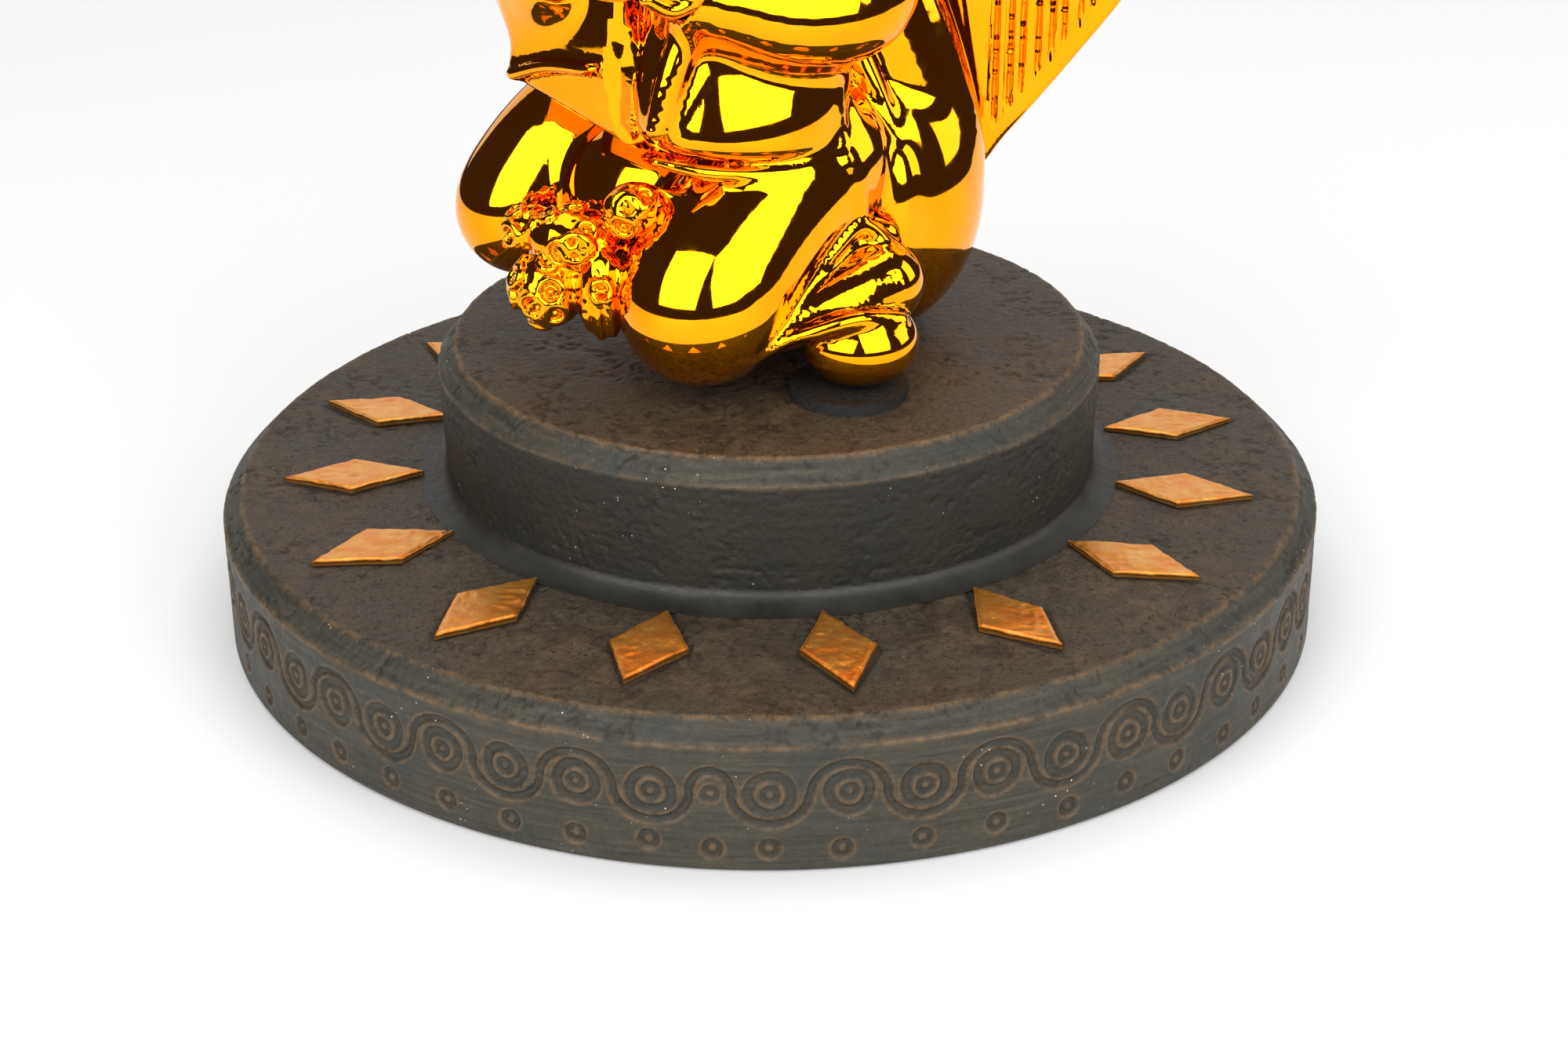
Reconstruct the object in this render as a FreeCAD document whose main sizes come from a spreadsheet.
import FreeCAD, Part
import math
import os
from FreeCAD import Placement, Rotation, Vector

# Award statuette: a seated robed figure, plated mirror gold, bolted to a round two-tier plinth.
# Millimetres. Origin at the bottom centre of the plinth, +Z up, -Y towards the front.

doc = FreeCAD.newDocument("statuette")
sheet = doc.addObject("Spreadsheet::Sheet", "Sizes")
SHEET_NAME = "Sizes"
parts = []
sheet_row = [0]


def size(name, value):
    """One driving dimension: a plain number in the sheet under a word alias."""
    sheet_row[0] += 1
    cell = "B%d" % sheet_row[0]
    sheet.set("A%d" % sheet_row[0], name)
    sheet.set(cell, "%.4f" % value)
    sheet.setAlias(cell, name)
    return value


def ref(name):
    return "%s.%s" % (SHEET_NAME, name)


# --- driving dimensions -------------------------------------------------------------------------
SIZES = {
    "plinth_radius": 120.0,
    "plinth_foot": 0.3,
    "lower_wall_top": 26.9,
    "lower_bevel_radius": 115.6,
    "lower_top": 31.3,
    "upper_foot_radius": 71.0,
    "cove_top": 34.7,
    "cove_radius": 77.0,
    "cove_lip": 31.6,
    "upper_wall_radius": 71.8,
    "upper_wall_top": 57.3,
    "upper_top_radius": 67.9,
    "upper_top": 62.2,
    "felt_radius": 113.0,
    "felt_thickness": 1.5,
    "felt_centre_hole": 16.0,
    "bolt_hole_radius": 4.4,
    "bolt_radius": 4.0,
    "bolt_recess_radius": 14.0,
    "bolt_seat": 13.5,
    "bolt_head_flats": 13.0,
    "bolt_head_height": 5.3,
    "bolt_tip": 84.0,
    "washer_radius": 12.0,
    "washer_thickness": 1.6,
    "spring_washer_radius": 7.4,
    "spring_washer_thickness": 2.0,
    "insert_radius": 6.5,
    "insert_bottom": 66.0,
    "insert_top": 86.0,
    "insert_gap": 0.2,
    "screw_circle": 50.0,
    "screw_radius": 2.5,
    "screw_head_radius": 4.6,
    "screw_head_height": 2.6,
    "screw_seat": 15.0,
    "screw_tip": 52.0,
    "screw_recess_radius": 5.4,
    "pin_radius": 2.0,
    "pin_bottom": 50.0,
    "pin_top": 78.0,
    "pin_place_x": 6.0,
    "pin_place_y": 28.0,
    "pad_thickness": 2.4,
    "front_pad_radius": 12.2,
    "rear_pad_radius": 8.0,
    "tile_inner": 76.5,
    "tile_outer": 107.0,
    "tile_half_width": 7.9,
    "tile_thickness": 1.3,
    "rosette_height": 17.0,
    "rosette_outer": 5.0,
    "rosette_ridge": 3.0,
    "rosette_well": 2.1,
    "rosette_dot": 0.7,
    "wave_radius": 7.3,
    "wave_width": 1.4,
    "mark_height": 5.4,
    "mark_radius": 2.1,
    "mark_dot": 0.9,
    "carve_depth": 0.7,
    "fit_gap": 0.3,
}
for size_name, size_value in SIZES.items():
    size(size_name, size_value)
S = SIZES


# --- helpers ------------------------------------------------------------------------------------
def origin_plane(body, role):
    return next(item for item in body.Origin.OriginFeatures if item.Role == role)


def profile_sketch(body, name, role, points, names):
    """A closed polygon on one of the body's origin planes.

    points are (x, y) starting values; names are pairs of sheet expressions that drive them."""
    sketch = body.newObject("Sketcher::SketchObject", name)
    sketch.AttachmentSupport = (origin_plane(body, role), [""])
    sketch.MapMode = "FlatFace"
    count = len(points)
    for i in range(count):
        start = Vector(points[i][0], points[i][1], 0)
        end = Vector(points[(i + 1) % count][0], points[(i + 1) % count][1], 0)
        sketch.addGeometry(Part.LineSegment(start, end), False)
    import Sketcher
    for i in range(count):
        sketch.addConstraint(Sketcher.Constraint("Coincident", i, 2, (i + 1) % count, 1))
    for i in range(count):
        for axis, kind in ((0, "DistanceX"), (1, "DistanceY")):
            expression = names[i][axis]
            value = points[i][axis]
            if expression is None:
                continue
            index = sketch.addConstraint(Sketcher.Constraint(kind, -1, 1, i, 1, value))
            sketch.setExpression("Constraints[%d]" % index, expression)
    return sketch


def turned_body(label, rows):
    """A PartDesign body turned round Z. rows are (radius, height) given as sheet expressions."""
    def value(expression):
        text = expression
        for key in sorted(S, key=len, reverse=True):
            text = text.replace(ref(key), repr(S[key]))
        total = 0.0
        for term in text.replace("-", "+-").split("+"):
            if term.strip():
                total += float(term.replace(" ", ""))
        return total

    body = doc.addObject("PartDesign::Body", label)
    body.Label = label
    points = [(value(r), value(z)) for r, z in rows]
    sketch = profile_sketch(body, label + "_profile", "XZ_Plane", points, rows)
    turned = body.newObject("PartDesign::Revolution", label + "_turned")
    turned.Profile = sketch
    turned.ReferenceAxis = (sketch, ["V_Axis"])
    turned.Angle = 360.0
    sketch.Visibility = False
    body.Tip = turned
    doc.recompute()
    return body


def cylinder(name, radius, height, x="0", y="0", z="0"):
    item = doc.addObject("Part::Cylinder", name)
    item.setExpression("Radius", radius)
    item.setExpression("Height", height)
    item.setExpression("Placement.Base.x", x)
    item.setExpression("Placement.Base.y", y)
    item.setExpression("Placement.Base.z", z)
    return item


def fuse(name, items):
    item = doc.addObject("Part::MultiFuse", name)
    item.Shapes = items
    item.Refine = False
    return item


def cut(name, base, tool):
    item = doc.addObject("Part::Cut", name)
    item.Base = base
    item.Tool = tool
    return item


def common(name, items):
    item = doc.addObject("Part::MultiCommon", name)
    item.Shapes = items
    return item


def keep(item, label):
    item.Label = label
    parts.append(item)
    return item


# --- the plinth ---------------------------------------------------------------------------------
lower_blank = turned_body("lower_tier_blank", [
    (ref("bolt_hole_radius"), ref("bolt_seat")),
    (ref("bolt_recess_radius"), ref("bolt_seat")),
    (ref("bolt_recess_radius"), ref("felt_thickness")),
    (ref("felt_radius"), ref("felt_thickness")),
    (ref("felt_radius"), ref("plinth_foot")),
    (ref("plinth_radius"), ref("plinth_foot")),
    (ref("plinth_radius"), ref("lower_wall_top")),
    (ref("lower_bevel_radius"), ref("lower_top")),
    (ref("bolt_hole_radius"), ref("lower_top")),
])

upper_blank = turned_body("upper_tier_blank", [
    (ref("bolt_hole_radius"), ref("lower_top")),
    (ref("upper_foot_radius"), ref("lower_top")),
    (ref("upper_foot_radius"), ref("cove_top")),
    (ref("upper_wall_radius"), ref("upper_wall_top")),
    (ref("upper_top_radius"), ref("upper_top")),
    (ref("bolt_hole_radius"), ref("upper_top")),
])


def radial_frame(angle, height):
    """Placement whose Z axis points outwards from the plinth wall at that angle and height."""
    turn = Rotation(Vector(0, 0, 1), math.degrees(angle)) * Rotation(Vector(0, 1, 0), 90)
    start = S["plinth_radius"] - S["carve_depth"]
    return Placement(Vector(start * math.cos(angle), start * math.sin(angle), height), turn)


def ring_tool(outer, inner, place, half=0):
    """A short tube along the local Z; half keeps one side: +1 the upper one, -1 the lower one."""
    length = 2.5
    tool = Part.makeCylinder(outer, length)
    if inner > 0:
        tool = tool.cut(Part.makeCylinder(inner, length))
    if half:
        side = 3.0 * outer
        # local -X is the vertical direction once the frame has turned
        corner = Vector(-side if half > 0 else 0.0, -side / 2.0, 0)
        tool = tool.common(Part.makeBox(side, side, length, corner))
    tool.Placement = place
    return tool


ROSETTES = 50
JOIN_ANGLE = math.radians(-95.6)
JOIN_STEP = math.radians(5.45)
JOIN_ARCH = 4.1


def rosette_angles():
    """A regular run round the wall that closes on one narrower rosette, as a hand layout does."""
    first = JOIN_ANGLE + JOIN_STEP
    step = (2.0 * math.pi - 2.0 * JOIN_STEP) / ROSETTES
    return [first + step * i for i in range(ROSETTES + 1)], step


def frieze_tools():
    angles, step = rosette_angles()
    tools = []
    for i, angle in enumerate(angles):
        place = radial_frame(angle, S["rosette_height"])
        tools.append(ring_tool(S["rosette_outer"], S["rosette_ridge"], place))
        tools.append(ring_tool(S["rosette_well"], S["rosette_dot"], place))
        low = radial_frame(angle, S["mark_height"])
        tools.append(ring_tool(S["mark_radius"], S["mark_dot"], low))
        outer = S["wave_radius"] + S["wave_width"] / 2.0
        inner = S["wave_radius"] - S["wave_width"] / 2.0
        tools.append(ring_tool(outer, inner, place, 1 if i % 2 else -1))
    join = radial_frame(JOIN_ANGLE, S["rosette_height"])
    tools.append(ring_tool(S["rosette_well"], S["rosette_dot"], join))
    tools.append(ring_tool(JOIN_ARCH + 0.7, JOIN_ARCH - 0.7, join, 1))
    return tools


frieze = doc.addObject("Part::Feature", "frieze_tools")
frieze.Shape = Part.makeCompound(frieze_tools())

screw_recesses = []
screw_holes = []
for i in range(4):
    turn = math.radians(45 + 90 * i)
    place_x = "%s * %.6f" % (ref("screw_circle"), math.cos(turn))
    place_y = "%s * %.6f" % (ref("screw_circle"), math.sin(turn))
    screw_recesses.append(cylinder("screw_recess_%d" % i, ref("screw_recess_radius"), ref("screw_seat"),
                                   place_x, place_y))
    screw_holes.append(cylinder("screw_hole_%d" % i, ref("screw_radius") + " + 0.1",
                                ref("screw_tip") + " + 1", place_x, place_y))
pin_hole = cylinder("pin_hole", ref("pin_radius"), ref("pin_top") + " - " + ref("pin_bottom"),
                    ref("pin_place_x"), ref("pin_place_y"), ref("pin_bottom"))
lower_tools = fuse("lower_tier_holes", screw_recesses + screw_holes)
lower_drilled = cut("lower_tier_drilled", lower_blank, lower_tools)
keep(cut("lower_tier_carved", lower_drilled, frieze), "base_lower_tier")

upper_screw_holes = []
for i in range(4):
    turn = math.radians(45 + 90 * i)
    place_x = "%s * %.6f" % (ref("screw_circle"), math.cos(turn))
    place_y = "%s * %.6f" % (ref("screw_circle"), math.sin(turn))
    upper_screw_holes.append(cylinder("upper_screw_hole_%d" % i, ref("screw_radius") + " + 0.1",
                                      ref("screw_tip") + " + 1", place_x, place_y))
upper_tools = fuse("upper_tier_holes", upper_screw_holes + [pin_hole])
keep(cut("upper_tier_drilled", upper_blank, upper_tools), "base_upper_tier")

keep(turned_body("cove_fillet_body", [
    (ref("upper_foot_radius"), ref("lower_top")),
    (ref("cove_radius"), ref("lower_top")),
    (ref("cove_radius"), ref("cove_lip")),
    (ref("upper_foot_radius") + "+2.6", ref("cove_lip") + "+0.6"),
    (ref("upper_foot_radius") + "+0.9", ref("cove_top") + "-1.3"),
    (ref("upper_foot_radius"), ref("cove_top")),
]), "cove_fillet")

keep(turned_body("felt_body", [
    (ref("felt_centre_hole"), "0"),
    (ref("felt_radius"), "0"),
    (ref("felt_radius"), ref("felt_thickness")),
    (ref("felt_centre_hole"), ref("felt_thickness")),
]), "felt_pad")

# --- gold-leaf lozenge tiles --------------------------------------------------------------------
TILES = 16
TILE_FRONT = -93.4
TILE_SPREAD = 1.7
for i in range(TILES):
    step = 360.0 / TILES * (i + 0.5)
    angle = TILE_FRONT + step + TILE_SPREAD * math.sin(math.radians(step))
    label = "diamond_tile_%02d" % (i + 1)
    body = doc.addObject("PartDesign::Body", label + "_body")
    middle = "(%s + %s) / 2" % (ref("tile_inner"), ref("tile_outer"))
    centre = (S["tile_inner"] + S["tile_outer"]) / 2.0
    corners = [(S["tile_inner"], 0.0), (centre, -S["tile_half_width"]),
               (S["tile_outer"], 0.0), (centre, S["tile_half_width"])]
    corner_names = [(ref("tile_inner"), "0"), (middle, "-" + ref("tile_half_width")),
                    (ref("tile_outer"), "0"), (middle, ref("tile_half_width"))]
    sketch = profile_sketch(body, label + "_outline", "XY_Plane", corners, corner_names)
    pad = body.newObject("PartDesign::Pad", label + "_pad")
    pad.Profile = sketch
    pad.setExpression("Length", ref("tile_thickness"))
    sketch.Visibility = False
    body.Tip = pad
    body.setExpression("Placement.Base.z", ref("lower_top"))
    body.Placement = Placement(Vector(0, 0, S["lower_top"]), Rotation(Vector(0, 0, 1), angle))
    keep(body, label)

# --- fasteners and pads -------------------------------------------------------------------------
bolt_shank = cylinder("bolt_shank", ref("bolt_radius"),
                      "%s - %s + %s + %s" % (ref("bolt_tip"), ref("bolt_seat"), ref("washer_thickness"),
                                             ref("spring_washer_thickness")),
                      "0", "0", "%s - %s - %s" % (ref("bolt_seat"), ref("washer_thickness"),
                                                  ref("spring_washer_thickness")))
bolt_head = doc.addObject("Part::Prism", "bolt_head")
bolt_head.Polygon = 6
bolt_head.setExpression("Circumradius", ref("bolt_head_flats") + " / 1.7320508")
bolt_head.setExpression("Height", ref("bolt_head_height"))
bolt_head.setExpression("Placement.Base.z", "%s - %s - %s - %s" % (
    ref("bolt_seat"), ref("washer_thickness"), ref("spring_washer_thickness"), ref("bolt_head_height")))
keep(fuse("bolt_solid", [bolt_shank, bolt_head]), "centre_bolt")

keep(turned_body("washer_body", [
    (ref("bolt_hole_radius"), ref("bolt_seat") + "-" + ref("washer_thickness")),
    (ref("washer_radius"), ref("bolt_seat") + "-" + ref("washer_thickness")),
    (ref("washer_radius"), ref("bolt_seat")),
    (ref("bolt_hole_radius"), ref("bolt_seat")),
]), "centre_washer")
keep(turned_body("spring_washer_body", [
    (ref("bolt_hole_radius"), ref("bolt_seat") + "-" + ref("washer_thickness") + "-"
     + ref("spring_washer_thickness")),
    (ref("spring_washer_radius"), ref("bolt_seat") + "-" + ref("washer_thickness") + "-"
     + ref("spring_washer_thickness")),
    (ref("spring_washer_radius"), ref("bolt_seat") + "-" + ref("washer_thickness")),
    (ref("bolt_hole_radius"), ref("bolt_seat") + "-" + ref("washer_thickness")),
]), "spring_washer")
keep(turned_body("insert_body", [
    (ref("bolt_radius"), ref("insert_bottom")),
    (ref("insert_radius"), ref("insert_bottom")),
    (ref("insert_radius"), ref("insert_top")),
    (ref("bolt_radius"), ref("insert_top")),
]), "threaded_insert")

screw_solids = []
for i in range(4):
    turn = math.radians(45 + 90 * i)
    place_x = "%s * %.6f" % (ref("screw_circle"), math.cos(turn))
    place_y = "%s * %.6f" % (ref("screw_circle"), math.sin(turn))
    shank = cylinder("screw_shank_%d" % i, ref("screw_radius"),
                     ref("screw_tip") + " - " + ref("screw_seat"), place_x, place_y, ref("screw_seat"))
    head = cylinder("screw_head_%d" % i, ref("screw_head_radius"), ref("screw_head_height"),
                    place_x, place_y, ref("screw_seat") + " - " + ref("screw_head_height"))
    screw_solids.append(fuse("screw_%d" % i, [shank, head]))
screws = doc.addObject("Part::Compound", "screw_set")
screws.Links = screw_solids
keep(screws, "tier_screws")

keep(cylinder("pin_solid", ref("pin_radius") + " - 0.05", ref("pin_top") + " - " + ref("pin_bottom"),
              ref("pin_place_x"), ref("pin_place_y"), ref("pin_bottom")), "locating_pin")

PADS = {"rubber_pad_front": ("front_pad_radius", 16.3, -36.5),
        "rubber_pad_rear_left": ("rear_pad_radius", -16.0, 24.0),
        "rubber_pad_rear_right": ("rear_pad_radius", 23.0, 9.0)}
for label, (radius_name, place_x, place_y) in PADS.items():
    size(label + "_x", place_x)
    size(label + "_y", place_y)
    pad = cylinder(label + "_disc", ref(radius_name), ref("pad_thickness"),
                   ref(label + "_x"), ref(label + "_y"), ref("upper_top"))
    keep(pad, label)

# --- the figure ---------------------------------------------------------------------------------
# The figure sits facing FACING degrees round from +X. Each cast piece is a few rounded forms:
# (centre, half-sizes along / across / up, direction of its length round Z, downward tilt).
FACING = -135.0
FORMS = {
    "lower_robe": [
        ((-14.0, -37.0, 82.6), (16.6, 16.2, 16.6), FACING, 0.0),
        ((-2.0, -25.0, 96.0), (27.0, 17.0, 16.5), FACING, 40.0),
        ((-51.0, 1.0, 89.5), (13.8, 13.4, 14.0), FACING, 0.0),
        ((-39.0, 10.0, 98.0), (26.0, 15.5, 15.0), FACING, 36.0),
        ((-16.0, -2.0, 98.0), (30.0, 30.0, 20.0), FACING, 0.0),
    ],
    "back_bundle": [((29.5, 6.0, 88.5), (17.0, 19.0, 23.4), 0.0, 0.0)],
    "foot_hem": [
        ((17.0, -35.0, 75.0), (14.5, 12.5, 10.2), -60.0, 0.0),
        ((9.0, -31.0, 82.0), (21.0, 9.0, 8.5), 205.0, 35.0),
    ],
    "upper_robe": [((-11.0, 1.0, 132.0), (24.0, 24.0, 22.0), FACING, 0.0)],
    "shoulder_drape": [((29.5, -1.5, 124.0), (37.0, 13.5, 12.0), -12.0, 73.0)],
    "left_sleeve": [
        ((13.0, -18.0, 143.0), (25.0, 11.5, 11.0), -70.0, 58.0),
        ((-4.0, -27.0, 130.0), (23.0, 13.0, 19.0), 197.0, 0.0),
    ],
    "right_sleeve": [
        ((-32.0, 19.0, 147.0), (23.0, 11.0, 10.5), 170.0, 52.0),
        ((-43.0, -3.0, 130.0), (17.0, 12.5, 16.5), -95.0, 0.0),
        ((-43.0, 9.0, 138.0), (13.0, 10.0, 12.0), -95.0, 0.0),
    ],
    "held_vessel": [
        ((-28.5, -41.5, 157.5), (12.2, 12.2, 11.4), 0.0, 0.0),
        ((-28.5, -41.5, 170.0), (6.6, 6.6, 7.4), 0.0, 0.0),
    ],
    "head": [
        ((-9.0, 2.0, 196.0), (15.0, 13.6, 17.6), FACING, 0.0),
        ((-14.5, -3.5, 189.0), (9.5, 10.0, 11.5), FACING, 0.0),
        ((-19.2, -8.2, 192.6), (3.6, 2.4, 4.4), FACING, 20.0),
        ((0.5, -8.5, 193.0), (3.4, 2.2, 6.6), FACING, 0.0),
        ((-19.5, 11.5, 193.0), (3.4, 2.2, 6.6), FACING, 0.0),
        ((-9.0, 2.0, 178.0), (9.0, 9.0, 10.0), FACING, 0.0),
    ],
    "topknot": [((-4.5, 6.5, 216.5), (7.5, 7.5, 7.0), FACING, 0.0)],
    "knot_ornament": [
        ((-45.5, -32.0, 84.0), (8.2, 8.0, 8.6), FACING, 0.0),
        ((-34.0, -36.5, 83.0), (6.6, 5.6, 10.0), FACING, 0.0),
        ((-39.0, -30.5, 94.0), (11.5, 9.0, 7.0), -40.0, 0.0),
        ((-48.0, -25.5, 93.0), (5.0, 5.0, 5.0), 0.0, 0.0),
        ((-33.0, -34.5, 99.5), (6.0, 5.0, 5.0), 0.0, 0.0),
    ],
}
HIPS = [(64.6, -2.0, 13.0, 27.0, 27.0), (72.0, -2.0, 13.0, 33.0, 33.0), (86.0, -3.0, 12.0, 36.0, 35.0),
        (100.0, -3.0, 11.0, 36.0, 33.0), (117.8, -3.0, 8.0, 33.0, 26.0)]
TORSO = [(118.1, -2.0, 8.0, 33.0, 26.0), (135.0, -4.0, 6.0, 32.0, 23.0), (152.0, -5.0, 6.0, 31.0, 19.0),
         (163.0, -6.0, 5.0, 27.0, 16.0), (171.0, -8.0, 3.0, 16.0, 12.5), (176.0, -9.0, 2.0, 11.0, 10.5)]
HANDS = {"left_hand": ((-11.0, -39.0, 147.0), (-19.0, -44.0, 150.0)),
         "right_hand": ((-43.5, -22.0, 147.0), (-40.0, -33.0, 151.0))}
size("hand_radius", 5.0)
FIGURE_FLOOR = S["upper_top"] + S["pad_thickness"]
WAIST = 117.8
size("figure_floor", FIGURE_FLOOR)
size("waist_height", WAIST)
for name, forms in FORMS.items():
    for k, (centre, half, azimuth, tilt) in enumerate(forms):
        tag = "%s_form%s" % (name, "abcdefgh"[k])
        for axis, value in zip("xyz", centre):
            size("%s_at_%s" % (tag, axis), value)
        for axis, value in zip(("long", "wide", "high"), half):
            size("%s_%s" % (tag, axis), value)


def rounded_form(tag, suffix, azimuth, tilt, grow):
    """An ellipsoid whose sizes and place come from the sheet; grow adds clearance all round."""
    item = doc.addObject("Part::Ellipsoid", tag + suffix)
    extra = " + " + ref("fit_gap") if grow else ""
    item.setExpression("Radius2", ref(tag + "_long") + extra)
    item.setExpression("Radius3", ref(tag + "_wide") + extra)
    item.setExpression("Radius1", ref(tag + "_high") + extra)
    turn = Rotation(Vector(0, 0, 1), azimuth) * Rotation(Vector(0, 1, 0), tilt)
    item.Placement = Placement(Vector(0, 0, 0), turn)
    for axis in "xyz":
        item.setExpression("Placement.Base." + axis, ref("%s_at_%s" % (tag, axis)))
    return item


def section_loft(name, sections, azimuth, grow):
    """A solid lofted through elliptical sections (height, centre x, centre y, long, short)."""
    rings = []
    extra = S["fit_gap"] if grow else 0.0
    for k, (height, x, y, long_half, short_half) in enumerate(sections):
        ring = doc.addObject("Part::Ellipse", "%s_ring_%d" % (name, k))
        ring.MajorRadius = long_half + extra
        ring.MinorRadius = short_half + extra
        ring.Placement = Placement(Vector(x, y, height), Rotation(Vector(0, 0, 1), azimuth))
        rings.append(ring)
    loft = doc.addObject("Part::Loft", name)
    loft.Sections = rings
    loft.Solid = True
    return loft


def rounded_rod(name, start, end):
    """A round bar with ball ends, for a closed hand."""
    start, end = Vector(*start), Vector(*end)
    size(name + "_length", round((end - start).Length, 3))
    shaft = doc.addObject("Part::Cylinder", name + "_shaft")
    shaft.setExpression("Radius", ref("hand_radius"))
    shaft.setExpression("Height", ref(name + "_length"))
    shaft.Placement = Placement(start, Rotation(Vector(0, 0, 1), end - start))
    balls = []
    for word, place in (("heel", start), ("knuckle", end)):
        ball = doc.addObject("Part::Sphere", name + "_" + word)
        ball.setExpression("Radius", ref("hand_radius"))
        ball.Placement = Placement(place, Rotation(Vector(0, 0, 1), end - start))
        balls.append(ball)
    return fuse(name + "_rod", [shaft] + balls)


def piece_form(name, grow=False):
    if name in HANDS:
        return rounded_rod(name, *HANDS[name])
    suffix = "_grown" if grow else "_true"
    forms = []
    for k, (centre, half, azimuth, tilt) in enumerate(FORMS.get(name, [])):
        forms.append(rounded_form("%s_form%s" % (name, "abcdefgh"[k]), suffix, azimuth, tilt, grow))
    if name == "lower_robe":
        forms.append(section_loft("hips" + suffix, HIPS, 0.0, grow))
    if name == "upper_robe":
        forms.append(section_loft("torso" + suffix, TORSO, FACING + 90.0, grow))
    if len(forms) == 1:
        return forms[0]
    return fuse(name + suffix + "_forms", forms)


def band(name, low, high):
    """A slab that keeps a piece between two heights."""
    slab = doc.addObject("Part::Box", name)
    slab.Length = 300
    slab.Width = 300
    slab.setExpression("Height", "%s - %s" % (high, low))
    slab.setExpression("Placement.Base.z", low)
    slab.Placement.Base = Vector(-150, -150, 0)
    slab.setExpression("Placement.Base.z", low)
    return slab


NEIGHBOURS = {
    "lower_robe": [],
    "back_bundle": ["lower_robe"],
    "foot_hem": ["lower_robe", "back_bundle"],
    "upper_robe": [],
    "shoulder_drape": ["upper_robe", "lower_robe", "back_bundle"],
    "left_sleeve": ["upper_robe", "lower_robe", "shoulder_drape"],
    "right_sleeve": ["upper_robe", "lower_robe"],
    "held_vessel": ["upper_robe", "left_sleeve", "right_sleeve"],
    "left_hand": ["left_sleeve", "held_vessel"],
    "right_hand": ["right_sleeve", "held_vessel"],
    "head": [],
    "topknot": ["head"],
    "knot_ornament": ["lower_robe"],
}
RANGES = {
    "lower_robe": (ref("figure_floor"), ref("waist_height")),
    "back_bundle": (ref("figure_floor"), "160"),
    "foot_hem": (ref("figure_floor"), "160"),
    "upper_robe": (ref("waist_height") + " + " + ref("fit_gap"), "176"),
    "head": ("176", "240"),
}

def biggest_solid(item, name):
    """Keeps the main solid where trimming left a loose sliver."""
    doc.recompute()
    solids = sorted(item.Shape.Solids, key=lambda solid: solid.Volume, reverse=True)
    if not solids:
        raise RuntimeError("nothing left of " + name)
    if len(solids) == 1:
        return item
    print(name, "slivers dropped:", [round(solid.Volume, 1) for solid in solids[1:]])
    main = doc.addObject("Part::Feature", name + "_main")
    main.Shape = solids[0]
    return main


grown = {}


def grown_form(name):
    if name not in grown:
        grown[name] = piece_form(name, True)
    return grown[name]


insert_hole = cylinder("insert_hole", ref("insert_radius"), ref("insert_top") + " - 60", "0", "0", "60")
figure_pin_hole = cylinder("figure_pin_hole", ref("pin_radius"), ref("pin_top") + " - 60",
                           ref("pin_place_x"), ref("pin_place_y"), "60")
LABELS = {"upper_robe": "figure_upper_robe", "lower_robe": "figure_lower_robe",
          "back_bundle": "figure_back_bundle", "foot_hem": "figure_foot_hem",
          "shoulder_drape": "figure_shoulder_drape", "left_sleeve": "figure_left_sleeve",
          "right_sleeve": "figure_right_sleeve", "left_hand": "figure_left_hand",
          "right_hand": "figure_right_hand", "head": "figure_head", "topknot": "figure_topknot",
          "held_vessel": "held_vessel", "knot_ornament": "knot_ornament"}
figure = {}
for name, neighbours in NEIGHBOURS.items():
    shape = piece_form(name)
    tools = [grown_form(other) for other in neighbours]
    if name == "lower_robe":
        tools += [insert_hole, figure_pin_hole]
    if tools:
        tool = tools[0] if len(tools) == 1 else fuse(name + "_clearance", tools)
        shape = cut(name + "_trimmed", shape, tool)
    if name in RANGES:
        shape = common(name + "_banded", [shape, band(name + "_band", *RANGES[name])])
    doc.recompute()
    figure[name] = keep(biggest_solid(shape, name), LABELS[name])

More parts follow.
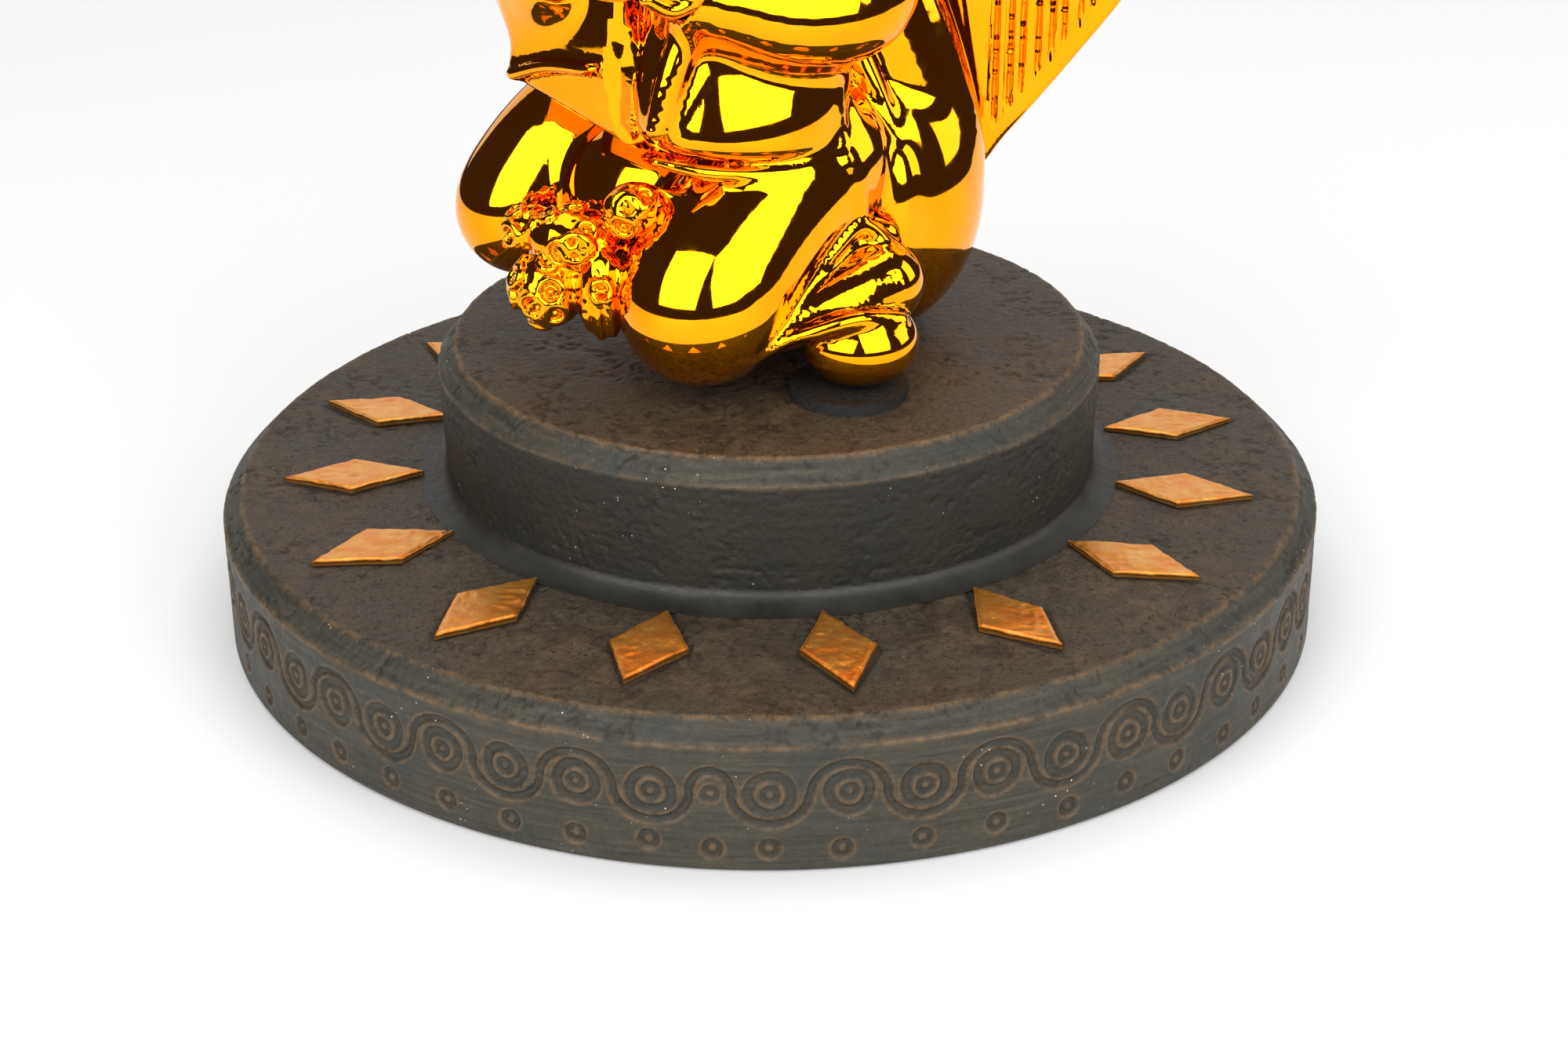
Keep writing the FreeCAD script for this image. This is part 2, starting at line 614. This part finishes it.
# --- the leaf fan behind the left shoulder ------------------------------------------------------
LEAF = [(44.0, 93.0), (52.0, 101.0), (66.0, 118.0), (78.0, 134.0), (87.0, 152.0), (90.0, 171.0),
        (83.0, 189.0), (68.0, 200.0), (52.0, 197.0), (41.0, 181.0), (36.0, 160.0), (35.0, 135.0),
        (37.0, 112.0)]
size("leaf_plane", 13.0)
size("leaf_thickness", 5.0)
size("leaf_rib_gap", 2.9)
doc.recompute()
leaf_curve = Part.BSplineCurve()
leaf_curve.interpolate([Vector(x, 0, z) for x, z in LEAF], PeriodicFlag=True)
leaf_face = Part.Face(Part.Wire([leaf_curve.toShape()]))
leaf_solid = leaf_face.extrude(Vector(0, sheet.get("leaf_thickness"), 0))
for k in range(13):
    x = 48.6 + sheet.get("leaf_rib_gap") * k
    foot = 92.0 + (x - 44.0) * 1.16 + 8.0
    groove = Part.makeBox(0.9, 1.0, 188.0 - foot, Vector(x, -0.4, foot))
    leaf_solid = leaf_solid.cut(groove)
leaf_blank = doc.addObject("Part::Feature", "leaf_blank")
leaf_blank.Shape = leaf_solid
leaf_blank.Placement = Placement(Vector(0, sheet.get("leaf_plane"), 0), Rotation())
leaf_tools = fuse("leaf_clearance", [grown_form(n) for n in
                                     ("shoulder_drape", "upper_robe", "lower_robe", "back_bundle")])
leaf_cut = cut("leaf_trimmed", leaf_blank, leaf_tools)
doc.recompute()
keep(biggest_solid(leaf_cut, "leaf_fan"), "leaf_fan")

# --- check and write ----------------------------------------------------------------------------
doc.recompute()
problems = []
for item in doc.Objects:
    state = [word for word in item.State if word in ("Invalid", "Error")]
    if state:
        problems.append((item.Name, state))
os.makedirs("parts", exist_ok=True)
for item in parts:
    shape = item.Shape
    if shape.isNull() or not shape.isValid() or not shape.Solids:
        problems.append((item.Label, "bad shape"))
        continue
    shape.exportStep("parts/%s.step" % item.Label)
    box = shape.optimalBoundingBox(False)
    print("%-24s solids %2d volume %9.1f  x %.1f..%.1f y %.1f..%.1f z %.1f..%.1f" % (
        item.Label, len(shape.Solids), shape.Volume, box.XMin, box.XMax, box.YMin, box.YMax,
        box.ZMin, box.ZMax))
if problems:
    raise RuntimeError("problems: %s" % problems)
print("nodes:", len(parts))
